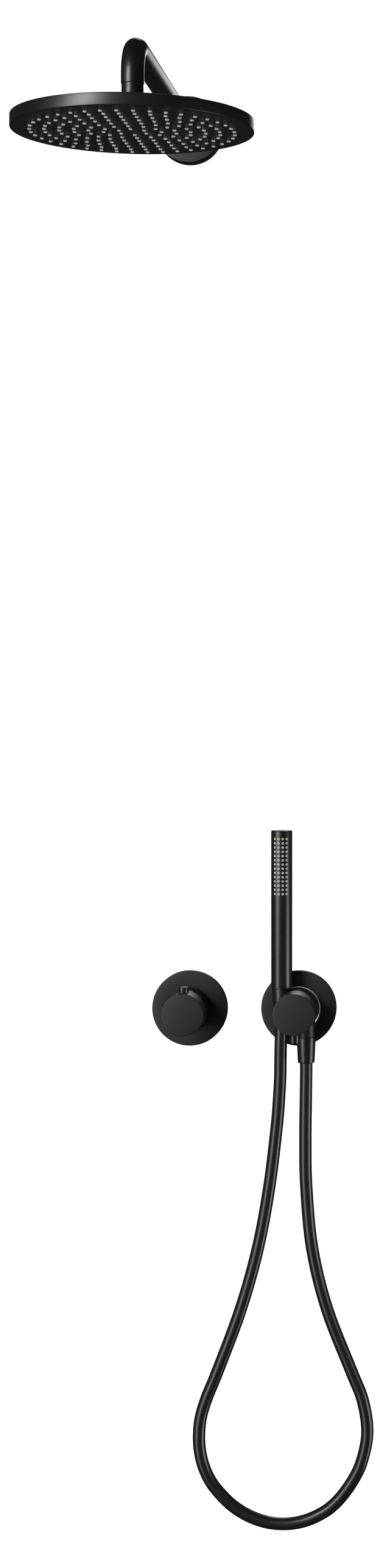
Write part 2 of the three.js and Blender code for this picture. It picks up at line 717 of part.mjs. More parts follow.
// Hand shower: a slim tube with its cap, nozzle insert, threaded spigot and flow limiter
function buildHandset(along, place, nutTop) {
  const bore = handsetRadius - handsetWall;
  const lipTop = handsetBottom + handsetLip;
  const capLow = handsetTop - handsetCapThickness;
  const lipBore = spigotRadius + seatGap;
  piece(place, 'handset_body', along([
    [lipBore, handsetBottom], [handsetRadius, handsetBottom], [handsetRadius, capLow - seatGap],
    [bore, capLow - seatGap], [bore, lipTop], [lipBore, lipTop], [lipBore, handsetBottom],
  ], pipeSides), black());
  const plug = bore - seatGap;
  piece(place, 'handset_cap', along([
    [0, capLow - handsetCapPlug], [plug, capLow - handsetCapPlug], [plug, capLow], [handsetRadius, capLow],
    [handsetRadius, handsetTop - edgeBreak], [handsetRadius - edgeBreak, handsetTop], [0, handsetTop],
  ], pipeSides), black());
  const spigotLow = nutTop - spigotLength;
  const flangeLow = lipTop + seatGap;
  const flangeTop = flangeLow + handsetFlangeLength;
  piece(place, 'handset_spigot', along([
    [waterwayRadius, spigotLow], [spigotRadius, spigotLow], [spigotRadius, flangeLow], [plug, flangeLow],
    [plug, flangeTop], [waterwayRadius, flangeTop], [waterwayRadius, spigotLow],
  ], innerSides), brass());
  const limiterOuter = waterwayRadius - seatGap;
  const limiter = ringProfile(limiterBoreRadius, limiterOuter, flangeTop - limiterLength, flangeTop);
  piece(place, 'handset_flow_limiter', along(limiter, smallSides), palePlastic());

  const outer = plug;
  const inner = outer - insertThickness;
  const section = new THREE.Shape();
  for (let i = 0; i <= insertSteps; i += 1) {
    const angle = insertHalfAngle * ((2 * i) / insertSteps - 1);
    section[i === 0 ? 'moveTo' : 'lineTo'](outer * Math.sin(angle), -outer * Math.cos(angle));
  }
  for (let i = insertSteps; i >= 0; i -= 1) {
    const angle = insertHalfAngle * ((2 * i) / insertSteps - 1);
    section.lineTo(inner * Math.sin(angle), -inner * Math.cos(angle));
  }
  section.closePath();
  const strip = new THREE.ExtrudeGeometry(section, { depth: insertLength, bevelEnabled: false });
  const insertBottom = handsetTop - insertDrop - insertLength;
  strip.rotateX(-Math.PI / 2).translate(-holderOffset, insertBottom, holderDepth);
  piece(place, 'handset_nozzle_insert', strip, silicone());
}

// The hose hangs in a loop from the hand shower's nut back to the outlet's nut
function buildHose() {
  const route = hoseRoute.map(([x, y]) => new THREE.Vector3(x, y, holderDepth));
  const path = new THREE.CatmullRomCurve3(route);
  const section = circleShape(hoseRadius, hoseSides);
  const hose = new THREE.ExtrudeGeometry(section, { steps: hoseSteps, extrudePath: path });
  piece(shower, 'hose', hose, hoseBlack());
}

buildArm();
buildHead();
buildMixer();
buildValve();
buildHose();

shower.rotation.x = Math.PI / 2;
shower.updateMatrixWorld(true);

export default shower;
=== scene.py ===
import math

import bmesh
import bpy
from mathutils import Matrix, Vector
from mathutils.geometry import tessellate_polygon


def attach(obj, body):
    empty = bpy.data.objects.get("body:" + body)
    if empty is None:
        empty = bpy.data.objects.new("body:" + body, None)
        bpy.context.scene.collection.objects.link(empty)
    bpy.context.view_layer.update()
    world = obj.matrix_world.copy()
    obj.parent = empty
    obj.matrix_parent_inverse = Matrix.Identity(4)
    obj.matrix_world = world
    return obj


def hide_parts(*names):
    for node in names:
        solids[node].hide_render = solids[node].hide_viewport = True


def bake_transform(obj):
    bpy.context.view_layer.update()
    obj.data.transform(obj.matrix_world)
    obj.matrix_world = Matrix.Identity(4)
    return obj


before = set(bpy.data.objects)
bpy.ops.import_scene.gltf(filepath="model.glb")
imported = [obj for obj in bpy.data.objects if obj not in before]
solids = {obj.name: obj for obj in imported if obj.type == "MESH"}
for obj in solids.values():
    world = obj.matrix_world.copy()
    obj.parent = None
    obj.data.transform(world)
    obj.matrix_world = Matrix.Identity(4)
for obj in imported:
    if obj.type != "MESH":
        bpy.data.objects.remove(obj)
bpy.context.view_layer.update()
scene = bpy.context.scene
millimetre = 0.001

# Places shared by the pieces, in millimetres: x to the right, z up, out from the wall
valveX = 130.5
handsetX = 111.9
outletX = 141.1
holderOut = 25.0
armZ = 1050.6
armReach = 450.0
headTop = 972.75
headBottom = 960.1
ballZ = 983.7


def place(x, z, out):
    return Vector((x, -out, z)) * millimetre


# Camera, fitted to the photograph's round edges and nozzle grid. The frame lies to one side of
# the lens axis: the holder's slant gives that, so a view from another side, which leaves the
# holder, has the object in its middle
cameraSpec = {
    "x": 429.0, "z": 386.8, "out": 3225.0, "slantX": -0.13267, "slantZ": -0.03674,
    "lens": 61.66, "sensor": 36.0, "nearest": 0.05, "farthest": 60.0,
}
slant = Matrix.Identity(4)
slant[0][2] = -cameraSpec["slantX"]
slant[1][2] = -cameraSpec["slantZ"]
cameraData = bpy.data.cameras.new("camera")
cameraData.sensor_fit = "AUTO"
cameraData.sensor_width = cameraSpec["sensor"]
cameraData.lens = cameraSpec["lens"] * slant.col[2].to_3d().length
cameraData.clip_start = cameraSpec["nearest"]
cameraData.clip_end = cameraSpec["farthest"]
camera = bpy.data.objects.new("camera", cameraData)
cameraHolder = bpy.data.objects.new("camera_holder", None)
cameraHolder.location = place(cameraSpec["x"], cameraSpec["z"], cameraSpec["out"])
cameraHolder.rotation_euler = (math.pi / 2, 0.0, 0.0)
camera.parent = cameraHolder
camera.matrix_parent_inverse = slant
scene.collection.objects.link(cameraHolder)
scene.collection.objects.link(camera)
scene.camera = camera
scene.view_settings.view_transform = "Standard"


# Procedural materials
def newMaterial(name):
    material = bpy.data.materials.new(name)
    material.use_nodes = True
    nodes = material.node_tree.nodes
    nodes.clear()
    output = nodes.new("ShaderNodeOutputMaterial")
    shader = nodes.new("ShaderNodeBsdfPrincipled")
    material.node_tree.links.new(shader.outputs["BSDF"], output.inputs["Surface"])
    return material, shader


def noiseNode(tree, vector, scale, detail=4.0, roughness=0.55):
    noise = tree.nodes.new("ShaderNodeTexNoise")
    noise.inputs["Scale"].default_value = scale
    noise.inputs["Detail"].default_value = detail
    noise.inputs["Roughness"].default_value = roughness
    tree.links.new(vector, noise.inputs["Vector"])
    return noise.outputs["Fac"]


# A value moved from one range to another. Most of a noise lies between 0.3 and 0.7
def remap(tree, value, low, high, fromLow=0.3, fromHigh=0.7):
    node = tree.nodes.new("ShaderNodeMapRange")
    node.inputs["From Min"].default_value = fromLow
    node.inputs["From Max"].default_value = fromHigh
    node.inputs["To Min"].default_value = low
    node.inputs["To Max"].default_value = high
    tree.links.new(value, node.inputs["Value"])
    return node.outputs["Result"]


# A mix of two numbers or colours, each given as it is or as another node's result
def mixNode(tree, kind, factor, first, second):
    node = tree.nodes.new("ShaderNodeMix")
    node.data_type = kind
    for socketName, value in (("A", first), ("B", second)):
        socket = node.inputs[socketName]
        if isinstance(value, bpy.types.NodeSocket):
            tree.links.new(value, socket)
        elif kind == "RGBA":
            socket.default_value = (*value, 1.0)
        else:
            socket.default_value = value
    tree.links.new(factor, node.inputs["Factor"])
    return node.outputs["Result"]


# Heights (value, strength, distance) laid over one another
def addBump(tree, shader, heights):
    normal = None
    for value, strength, distance in heights:
        bump = tree.nodes.new("ShaderNodeBump")
        bump.inputs["Strength"].default_value = strength
        bump.inputs["Distance"].default_value = distance
        tree.links.new(value, bump.inputs["Height"])
        if normal is not None:
            tree.links.new(normal, bump.inputs["Normal"])
        normal = bump.outputs["Normal"]
    tree.links.new(normal, shader.inputs["Normal"])


# One surface recipe: two tones, a painted highlight that makes sharp edges paler, roughness spread,
# fine grain and a slow waviness
surfaceRecipe = {
    "cloudDetail": 3.0, "grainDetail": 5.0, "grainRoughness": 0.6, "waveDetail": 2.0,
    "grainDepth": 0.0002, "waveDepth": 0.0004, "edgeHighlightFrom": 0.52, "edgeHighlightTo": 0.6, "ior": 1.5,
}


def makeSurface(name, spec):
    material, shader = newMaterial(name)
    tree = material.node_tree
    recipe = surfaceRecipe
    coords = tree.nodes.new("ShaderNodeTexCoord").outputs["Object"]
    cloud = noiseNode(tree, coords, spec["cloudScale"], recipe["cloudDetail"])
    grain = noiseNode(tree, coords, spec["grainScale"], recipe["grainDetail"],
                      recipe["grainRoughness"])
    wave = noiseNode(tree, coords, spec["waveScale"], recipe["waveDetail"])
    color = mixNode(tree, "RGBA", remap(tree, cloud, 0.0, 1.0), spec["dark"], spec["light"])
    # Painted highlight: sharp convex edges, found by pointiness, get the paler edge colour
    if "edgeHighlight" in spec:
        geometry = tree.nodes.new("ShaderNodeNewGeometry")
        edgeHighlight = remap(tree, geometry.outputs["Pointiness"], 0.0, 1.0,
                     recipe["edgeHighlightFrom"], recipe["edgeHighlightTo"])
        color = mixNode(tree, "RGBA", edgeHighlight, color, spec["edgeHighlight"])
    tree.links.new(color, shader.inputs["Base Color"])
    tree.links.new(remap(tree, grain, *spec["roughness"]), shader.inputs["Roughness"])
    shader.inputs["IOR"].default_value = spec.get("ior", recipe["ior"])
    addBump(tree, shader, [
        (grain, spec["grainStrength"], recipe["grainDepth"]),
        (wave, spec["waveStrength"], recipe["waveDepth"]),
    ])
    return material


# Turned metal: fine rings about an axis through the piece
turnedRecipe = {
    "distortion": 0.6, "ringDetail": 3.0, "cloudScale": 60.0, "grainScale": 2500.0,
    "ringStrength": 0.25, "grainStrength": 0.1, "depth": 0.0001,
}


def makeTurnedMetal(name, spec):
    material, shader = newMaterial(name)
    tree = material.node_tree
    recipe = turnedRecipe
    coords = tree.nodes.new("ShaderNodeTexCoord").outputs["Object"]
    rings = tree.nodes.new("ShaderNodeTexWave")
    rings.wave_type = "BANDS"
    rings.bands_direction = spec["bands"]
    rings.inputs["Scale"].default_value = spec["ringScale"]
    rings.inputs["Distortion"].default_value = recipe["distortion"]
    rings.inputs["Detail"].default_value = recipe["ringDetail"]
    tree.links.new(coords, rings.inputs["Vector"])
    cloud = noiseNode(tree, coords, recipe["cloudScale"])
    grain = noiseNode(tree, coords, recipe["grainScale"])
    color = mixNode(tree, "RGBA", remap(tree, cloud, 0.0, 1.0), spec["dark"], spec["light"])
    tree.links.new(color, shader.inputs["Base Color"])
    tree.links.new(remap(tree, grain, *spec["roughness"]), shader.inputs["Roughness"])
    shader.inputs["Metallic"].default_value = spec["metallic"]
    addBump(tree, shader, [
        (rings.outputs["Fac"], recipe["ringStrength"], recipe["depth"]),
        (grain, recipe["grainStrength"], recipe["depth"]),
    ])
    return material


# Grey silicone with painted shade: darker at the root of a nozzle, next to the plate, than at its
# grey tip
def makeRootShadedSilicone(name, spec):
    material, shader = newMaterial(name)
    tree = material.node_tree
    coords = tree.nodes.new("ShaderNodeTexCoord").outputs["Object"]
    split = tree.nodes.new("ShaderNodeSeparateXYZ")
    tree.links.new(coords, split.inputs["Vector"])
    height = remap(tree, split.outputs["Z"], 1.0, 0.0,
                   spec["tipAt"] * millimetre, spec["rootShadeAt"] * millimetre)
    cloud = remap(tree, noiseNode(tree, coords, spec["cloudScale"], spec["cloudDetail"]),
                  -spec["cloudSpread"], spec["cloudSpread"])
    rootShadeMix = tree.nodes.new("ShaderNodeMath")
    tree.links.new(height, rootShadeMix.inputs[0])
    tree.links.new(cloud, rootShadeMix.inputs[1])
    rootShadeMix.use_clamp = True
    color = mixNode(tree, "RGBA", rootShadeMix.outputs["Value"], spec["root"], spec["tip"])
    tree.links.new(color, shader.inputs["Base Color"])
    grain = noiseNode(tree, coords, spec["grainScale"])
    tree.links.new(remap(tree, grain, *spec["roughness"]), shader.inputs["Roughness"])
    shader.inputs["IOR"].default_value = spec["ior"]
    addBump(tree, shader, [(grain, spec["grainStrength"], spec["grainDepth"])])
    return material


# The edge colours in these surfaces are painted highlights along sharp edges
lacquer = makeSurface("black_lacquer", {
    "dark": (0.0046, 0.0046, 0.0048), "light": (0.0062, 0.0062, 0.0064),
    "edgeHighlight": (0.012, 0.012, 0.012), "roughness": (0.34, 0.40), "cloudScale": 14.0,
    "grainScale": 2600.0, "waveScale": 90.0, "grainStrength": 0.05, "waveStrength": 0.02,
})
faceLacquer = makeSurface("black_lacquer_faces", {
    "dark": (0.0050, 0.0050, 0.0052), "light": (0.0066, 0.0066, 0.0068),
    "edgeHighlight": (0.013, 0.013, 0.013), "roughness": (0.46, 0.54), "cloudScale": 18.0,
    "grainScale": 2600.0, "waveScale": 80.0, "grainStrength": 0.05, "waveStrength": 0.02,
})
hoseSkin = makeSurface("hose_black", {
    "dark": (0.0058, 0.0058, 0.0060), "light": (0.0080, 0.0080, 0.0082),
    "roughness": (0.34, 0.40), "cloudScale": 30.0,
    "grainScale": 1800.0, "waveScale": 70.0, "grainStrength": 0.04, "waveStrength": 0.03,
})
darkPlastic = makeSurface("dark_plastic", {
    "dark": (0.018, 0.019, 0.021), "light": (0.030, 0.031, 0.034),
    "edgeHighlight": (0.05, 0.05, 0.055), "roughness": (0.50, 0.66), "cloudScale": 40.0,
    "grainScale": 1400.0, "waveScale": 150.0, "grainStrength": 0.35, "waveStrength": 0.06,
})
palePlastic = makeSurface("pale_plastic", {
    "dark": (0.52, 0.50, 0.44), "light": (0.62, 0.60, 0.54),
    "edgeHighlight": (0.70, 0.69, 0.64), "roughness": (0.42, 0.58), "cloudScale": 50.0,
    "grainScale": 1300.0, "waveScale": 140.0, "grainStrength": 0.25, "waveStrength": 0.06,
})
rubber = makeSurface("rubber_black", {
    "dark": (0.008, 0.008, 0.009), "light": (0.016, 0.016, 0.017),
    "roughness": (0.68, 0.86), "cloudScale": 80.0,
    "grainScale": 1700.0, "waveScale": 170.0, "grainStrength": 0.40, "waveStrength": 0.08,
})
silicone = makeSurface("silicone_grey", {
    "dark": (0.36, 0.34, 0.31), "light": (0.47, 0.45, 0.42),
    "edgeHighlight": (0.62, 0.60, 0.57), "roughness": (0.42, 0.56), "cloudScale": 160.0, "ior": 1.41,
    "grainScale": 1900.0, "waveScale": 260.0, "grainStrength": 0.18, "waveStrength": 0.05,
})
# Painted shade: the nozzle roots next to the plate get a near-black colour, the tips the silicone's
# grey
rootShadedSilicone = makeRootShadedSilicone("nozzle_silicone_root_shade", {
    "root": (0.022, 0.022, 0.021), "tip": (0.66, 0.66, 0.64),
    "tipAt": headBottom - 2.1, "rootShadeAt": headBottom - 0.7, "roughness": (0.28, 0.40),
    "cloudScale": 300.0, "cloudDetail": 3.0, "cloudSpread": 0.08,
    "grainScale": 2400.0, "grainStrength": 0.08, "grainDepth": 0.0001, "ior": 1.43,
})
# Painted shade: a near-black colour for the inside of the nozzle bores
boreShade = makeSurface("nozzle_bore_shade", {
    "dark": (0.010, 0.010, 0.010), "light": (0.020, 0.019, 0.018),
    "roughness": (0.60, 0.80), "cloudScale": 120.0,
    "grainScale": 1900.0, "waveScale": 200.0, "grainStrength": 0.20, "waveStrength": 0.05,
})
brightRing = makeTurnedMetal("bright_ring", {
    "dark": (0.76, 0.76, 0.77), "light": (0.86, 0.86, 0.87), "roughness": (0.34, 0.46),
    "bands": "Y", "ringScale": 900.0, "metallic": 0.4,
})
brassSpec = {
    "dark": (0.52, 0.37, 0.15), "light": (0.66, 0.49, 0.23), "roughness": (0.32, 0.48),
    "ringScale": 700.0, "metallic": 0.6,
}
brass = makeTurnedMetal("brass", {**brassSpec, "bands": "Y"})
brassUpright = makeTurnedMetal("brass_upright", {**brassSpec, "bands": "Z"})
steel = makeTurnedMetal("steel", {
    "dark": (0.42, 0.43, 0.44), "light": (0.56, 0.57, 0.58), "roughness": (0.25, 0.40),
    "bands": "Z", "ringScale": 900.0, "metallic": 1.0,
})
print("materials ready")


# Shared by the meshes: the angle in degrees from which an edge stays sharp, the steps of a
# rounded corner, the share of a side that its rounding may take, and what counts as no turn in
# radians and as no radius in millimetres
meshSpec = {
    "sharpAngle": 32.0, "arcSteps": 5, "mostOfSide": 0.49, "noTurn": 0.001, "noRadius": 1e-6,
}


def smoothMesh(mesh, sharpAngle):
    mesh.shade_smooth()
    mesh.set_sharp_from_angle(angle=math.radians(sharpAngle))


def addPiece(name, vertices, faces, materials, body=None, sharpAngle=meshSpec["sharpAngle"],
             faceSlots=None, smooth=True):
    mesh = bpy.data.meshes.new(name)
    mesh.from_pydata([tuple(v) for v in vertices], [], faces)
    mesh.update()
    for material in materials:
        mesh.materials.append(material)
    if faceSlots:
        mesh.polygons.foreach_set("material_index", faceSlots)
    if smooth:
        smoothMesh(mesh, sharpAngle)
    piece = bpy.data.objects.new(name, mesh)
    scene.collection.objects.link(piece)
    if body:
        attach(piece, body)
    return piece


def facesOut(piece):
    bm = bmesh.new()
    bm.from_mesh(piece.data)
    bmesh.ops.recalc_face_normals(bm, faces=bm.faces)
    bm.to_mesh(piece.data)
    bm.free()


# Turns a piece's faces outward and hides the solids that it stands in for
def dress(piece, finish, *replaced):
    facesOut(piece)
    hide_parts(*replaced)
    return piece


# Corners (radius, height, fillet) become an outline with rounded corners
def roundOutline(corners, closed=False, arcSteps=meshSpec["arcSteps"]):
    outline = []
    count = len(corners)
    for i, (radius, height, fillet) in enumerate(corners):
        corner = Vector((radius, height))
        atEnd = not closed and i in (0, count - 1)
        if atEnd or fillet <= 0:
            outline.append((radius, height))
            continue
        before = Vector(corners[i - 1][:2]) - corner
        after = Vector(corners[(i + 1) % count][:2]) - corner
        turn = before.angle(after)
        reach = min(fillet / math.tan(turn / 2), before.length * meshSpec["mostOfSide"],
                    after.length * meshSpec["mostOfSide"])
        trueFillet = reach * math.tan(turn / 2)
        middle = (before.normalized() + after.normalized()).normalized()
        centre = corner + middle * (trueFillet / math.sin(turn / 2))
        startArm = corner + before.normalized() * reach - centre
        endArm = corner + after.normalized() * reach - centre
        for step in range(arcSteps + 1):
            share = step / arcSteps
            arm = startArm
            if startArm.angle(endArm) > meshSpec["noTurn"]:
                arm = startArm.slerp(endArm, share)
            outline.append(tuple(centre + arm.normalized() * trueFillet))
    return outline


# Directions of a turned piece: right, forward and along its axis
upAxis = (Vector((1, 0, 0)), Vector((0, 1, 0)), Vector((0, 0, 1)))
outAxis = (Vector((1, 0, 0)), Vector((0, 0, 1)), Vector((0, -1, 0)))


# Faces between two rings of points, one of which may be a single point
def joinRings(faces, lower, upper):
    count = max(len(lower), len(upper))
    for i in range(count):
        j = (i + 1) % count
        if len(lower) == 1:
            faces.append((lower[0], upper[j], upper[i]))
        elif len(upper) == 1:
            faces.append((lower[i], lower[j], upper[0]))
        else:
            faces.append((lower[i], lower[j], upper[j], upper[i]))


# An outline turned about an axis; where its radius is zero, the ring is a single point
def turnOutline(outline, centre, axis, sides, closed=False):
    right, forward, along = axis
    vertices = []
    faces = []
    rings = []
    for radius, height in outline:
        if radius < meshSpec["noRadius"]:
            rings.append([len(vertices)])
            vertices.append(centre + along * height * millimetre)
            continue
        ring = []
        for i in range(sides):
            angle = 2 * math.pi * i / sides
            arm = right * math.cos(angle) + forward * math.sin(angle)
            ring.append(len(vertices))
            vertices.append(centre + (arm * radius + along * height) * millimetre)
        rings.append(ring)
    pairs = list(zip(rings, rings[1:]))
    if closed:
        pairs.append((rings[-1], rings[0]))
    for lower, upper in pairs:
        joinRings(faces, lower, upper)
    return vertices, faces


def turnShape(corners, centre, axis, sides, closed=False):
    return turnOutline(roundOutline(corners, closed), centre, axis, sides, closed)


# A round piece. Its corners form a loop where it is a ring, and end on the axis where it isn't
def turnedPiece(name, corners, centre, axis, material, body, finish, replaced, sides=96,
                closed=True):
    vertices, faces = turnShape(corners, centre, axis, sides, closed)
    piece = addPiece(name, vertices, faces, [material], body)
    return dress(piece, finish, *replaced)


# Small nozzles, all in one mesh. The floor and wall of each bore come first and get painted shade,
# a near-black colour
def nozzleField(outline, spots, sides):
    vertices = []
    faces = []
    faceSlots = []
    boreFaces = 2 * sides
    for centre, axis in spots:
        nozzleVertices, nozzleFaces = turnOutline(outline, centre, axis, sides)
        shift = len(vertices)
        vertices += nozzleVertices
        faces += [tuple(i + shift for i in face) for face in nozzleFaces]
        faceSlots += [1] * boreFaces + [0] * (len(nozzleFaces) - boreFaces)
    return vertices, faces, faceSlots


# A tube along a line of points, with frames carried along so that it never twists
def sweepShape(points, radius, sides, inner=0.0):
    vertices = []
    faces = []
    tangents = []
    for i in range(len(points)):
        ahead = points[min(i + 1, len(points) - 1)]
        behind = points[max(i - 1, 0)]
        tangents.append((ahead - behind).normalized())
    side = tangents[0].orthogonal().normalized()
    radii = [radius] + ([inner] if inner else [])
    rings = [[] for _ in radii]
    for point, tangent in zip(points, tangents):
        side = (side - tangent * side.dot(tangent)).normalized()
        up = tangent.cross(side)
        for which, reach in enumerate(radii):
            ring = []
            for i in range(sides):
                angle = 2 * math.pi * i / sides
                arm = side * math.cos(angle) + up * math.sin(angle)
                ring.append(len(vertices))
                vertices.append(point + arm * reach)
            rings[which].append(ring)
    for ringList in rings:
        for lower, upper in zip(ringList, ringList[1:]):
            joinRings(faces, lower, upper)
    for end in (0, -1):
        if inner:
            joinRings(faces, rings[0][end], rings[1][end])
        else:
            faces.append(tuple(rings[0][end]))
    return vertices, faces


# A curve through all the points, with some steps between each two
def smoothLine(points, steps):
    line = []
    ends = [points[0] * 2 - points[1]] + points + [points[-1] * 2 - points[-2]]
    for i in range(1, len(ends) - 2):
        a, b, c, d = ends[i - 1:i + 3]
        for step in range(steps):
            t = step / steps
            line.append(0.5 * (2 * b + (c - a) * t + (2 * a - 5 * b + 4 * c - d) * t * t
                               + (3 * b - a - 3 * c + d) * t ** 3))
    line.append(points[-1])
    return line


# Hose: it leaves under the hand shower's nut and returns to the outlet's nut
hoseSpec = {"radius": 7.5, "sides": 40, "stepsBetween": 6}
hoseRoute = [
    (111.9, -4.9), (111.5, -18), (110.8, -40), (110.4, -62), (110.1, -80), (108.8, -104),
    (106, -138.7), (97.1, -211), (83.5, -284), (63.3, -356), (36.1, -429), (22.3, -463),
    (15.3, -487), (13.4, -508.6), (14.8, -527), (19.4, -545), (27.5, -562), (38.3, -576),
    (52, -589.5), (66.8, -599.6), (81.3, -606.3), (95.8, -610.5), (110.5, -612.2),
    (125, -611.6), (139.5, -608.6), (153.9, -602.8), (168.5, -594), (182.9, -580),
    (197.4, -559.4), (207.6, -537), (213.9, -503), (208.4, -465), (194.3, -429), (165.8, -356),
    (148.2, -284), (141.2, -211), (140.1, -157), (140.7, -102.5), (141.1, -75), (141.1, -63),
]
hoseLine = smoothLine([place(x, z, holderOut) for x, z in hoseRoute], hoseSpec["stepsBetween"])
vertices, faces = sweepShape(hoseLine, hoseSpec["radius"] * millimetre, hoseSpec["sides"])
hose = dress(addPiece("hose_tube", vertices, faces, [hoseSkin]), "hose_black", "hose")
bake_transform(hose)

# Conical nuts at both ends of the hose, wider inside at the top
nutSpec = {
    "top": 11.4, "bottom": 10.0, "length": 30.2, "round": 1.4, "bore": 7.8,
    "socket": 9.62, "socketDepth": 13.5, "handsetAt": 25.6, "outletAt": -32.5,
}


def makeNut(name, x, top, body, replaced):
    bottom = -nutSpec["length"]
    bore = nutSpec["bore"]
    socket = nutSpec["socket"]
    socketFloor = -nutSpec["socketDepth"]
    return turnedPiece(name, [
        (bore, bottom, 0.3), (nutSpec["bottom"], bottom, nutSpec["round"]),
        (nutSpec["top"], 0.0, 0.25), (socket, 0.0, 0.05),
        (socket, socketFloor, 0.1), (bore, socketFloor, 0.1),
    ], place(x, top, holderOut), upAxis, lacquer, body, "black_lacquer", (replaced,))


handsetNut = makeNut("handset_cone", handsetX, nutSpec["handsetAt"], "hand_shower",
                     "handset_hose_nut")
outletNut = makeNut("outlet_cone", outletX, nutSpec["outletAt"], "wall_set",
                    "outlet_hose_nut")
print("hose and nuts made")

# Lights: tall soft boxes at both sides, one for the head, a small one behind it on the right,
# and a narrow beam from behind and above for the tops of knobs and pins
lightSpecs = [
    {"name": "left_strip", "at": (-3.25, -3.75, -0.25), "size": (1.7, 5.4), "watts": 225.0,
     "toward": (0.05, 0.0, 0.0)},
    {"name": "left_top", "at": (-2.35, -3.9, 2.1), "size": (1.4, 1.4), "watts": 116.0,
     "toward": (0.0, -0.45, 1.0)},
    {"name": "right_low", "at": (3.6, -0.85, -1.38), "size": (1.3, 2.6), "watts": 124.0,
     "toward": (0.1, 0.0, -0.4)},
    {"name": "back_right", "at": (0.38, 2.9, 1.58), "size": (1.0, 0.6), "watts": 8.5,
     "toward": (0.05, -0.3, 1.05)},
    {"name": "back_top", "at": (-0.35, 6.6, 4.6), "size": (2.2, 1.6), "watts": 1.9,
     "toward": (0.05, -0.05, 0.0), "spread": 14.0},
]
for spec in lightSpecs:
    lamp = bpy.data.lights.new(spec["name"], "AREA")
    lamp.shape = "RECTANGLE"
    lamp.size, lamp.size_y = spec["size"]
    lamp.energy = spec["watts"]
    if "spread" in spec:
        lamp.spread = math.radians(spec["spread"])
    light = bpy.data.objects.new(spec["name"], lamp)
    light.location = Vector(spec["at"])
    aim = Vector(spec["toward"]) - light.location
    light.rotation_euler = aim.to_track_quat("-Z", "Y").to_euler()
    light.visible_camera = False
    scene.collection.objects.link(light)

# The surround is white to the camera. Glossy surfaces see a dark studio, because the
# photograph's black lacquer has dark outlines and a dark underside
worldSpec = {"seen": 1.0, "glossy": 0.025, "diffuse": 0.40}
world = bpy.data.worlds.new("surround")
world.use_nodes = True
scene.world = world
worldTree = world.node_tree
worldTree.nodes.clear()
worldOut = worldTree.nodes.new("ShaderNodeOutputWorld")
surround = worldTree.nodes.new("ShaderNodeBackground")
surround.inputs["Color"].default_value = (1.0, 1.0, 1.0, 1.0)
worldTree.links.new(surround.outputs["Background"], worldOut.inputs["Surface"])
worldRays = worldTree.nodes.new("ShaderNodeLightPath").outputs
unseenLevel = remap(worldTree, worldRays["Is Glossy Ray"],
                    worldSpec["diffuse"], worldSpec["glossy"], 0.0, 1.0)
worldLevel = mixNode(worldTree, "FLOAT", worldRays["Is Camera Ray"], unseenLevel,
                     worldSpec["seen"])
worldTree.links.new(worldLevel, surround.inputs["Strength"])
print("camera, lights and surround ready")

# Pale floor well below the hose. Away from the object it is as white as the background where the
# camera sees it.
# Near the middle its glow is lower: a painted shadow pool under the object, which also lets its own
# shadow show
floorSpec = {
    "level": -1.05, "half": 14.0, "color": (0.42, 0.42, 0.42), "roughness": 0.9,
    "specular": 0.1, "shadowPoolGlow": 0.50, "farGlow": 1.0, "glow": 0.12,
    "nearReach": 0.3, "shadowReach": 1.12,
}
floorMaterial, floorShader = newMaterial("pale_floor")
floorTree = floorMaterial.node_tree
floorShader.inputs["Roughness"].default_value = floorSpec["roughness"]
floorShader.inputs["Specular IOR Level"].default_value = floorSpec["specular"]
floorShader.inputs["Base Color"].default_value = (*floorSpec["color"], 1.0)
floorShader.inputs["Emission Color"].default_value = (1.0, 1.0, 1.0, 1.0)
floorPlace = floorTree.nodes.new("ShaderNodeTexCoord").outputs["Object"]
floorReach = floorTree.nodes.new("ShaderNodeVectorMath")
floorReach.operation = "LENGTH"
floorTree.links.new(floorPlace, floorReach.inputs[0])
# Painted shadow: the glow the camera sees is lower near the middle, a darker pool under the object
shadowPoolGlow = remap(floorTree, floorReach.outputs["Value"], floorSpec["shadowPoolGlow"],
                 floorSpec["farGlow"], floorSpec["nearReach"], floorSpec["shadowReach"])
floorRays = floorTree.nodes.new("ShaderNodeLightPath").outputs
floorGlow = mixNode(floorTree, "FLOAT", floorRays["Is Camera Ray"], floorSpec["glow"], shadowPoolGlow)
floorTree.links.new(floorGlow, floorShader.inputs["Emission Strength"])
half, level = floorSpec["half"], floorSpec["level"]
floorCorners = [(-half, -half, level), (half, -half, level), (half, half, level),
                (-half, half, level)]
floor = addPiece("floor", floorCorners, [(0, 1, 2, 3)], [floorMaterial], smooth=False)
floor.visible_glossy = False

# Arm: one bent tube. A ring of points close to each end keeps the end square
armSpec = {
    "radius": 12.0, "inner": 9.6, "bend": 32.0, "bendSteps": 24, "start": 5.0,
    "startRing": 1.0, "drop": 42.0, "endRing": 0.6, "sides": 72,
}
armPoints = [place(0, armZ, armSpec["start"]),
             place(0, armZ, armSpec["start"] + armSpec["startRing"])]
for i in range(armSpec["bendSteps"] + 1):
    angle = math.pi / 2 * i / armSpec["bendSteps"]
    armPoints.append(place(
        0, armZ + armSpec["bend"] * (math.cos(angle) - 1),
        armReach - armSpec["bend"] + armSpec["bend"] * math.sin(angle),
    ))
armPoints += [place(0, armZ - armSpec["drop"] + armSpec["endRing"], armReach),
              place(0, armZ - armSpec["drop"], armReach)]
vertices, faces = sweepShape(armPoints, armSpec["radius"] * millimetre, armSpec["sides"],
                             armSpec["inner"] * millimetre)
dress(addPiece("arm_tube", vertices, faces, [lacquer], "wall_set"), "black_lacquer",
      "shower_arm")

# Round covers with an open back
coverSpec = {
    "wall": 2.0, "sides": 160, "armRadius": 39.5, "armDepth": 20.0, "armHole": 12.03,
    "radius": 45.0, "depth": 8.0, "mixerHole": 24.72, "valveHole": 25.88,
}


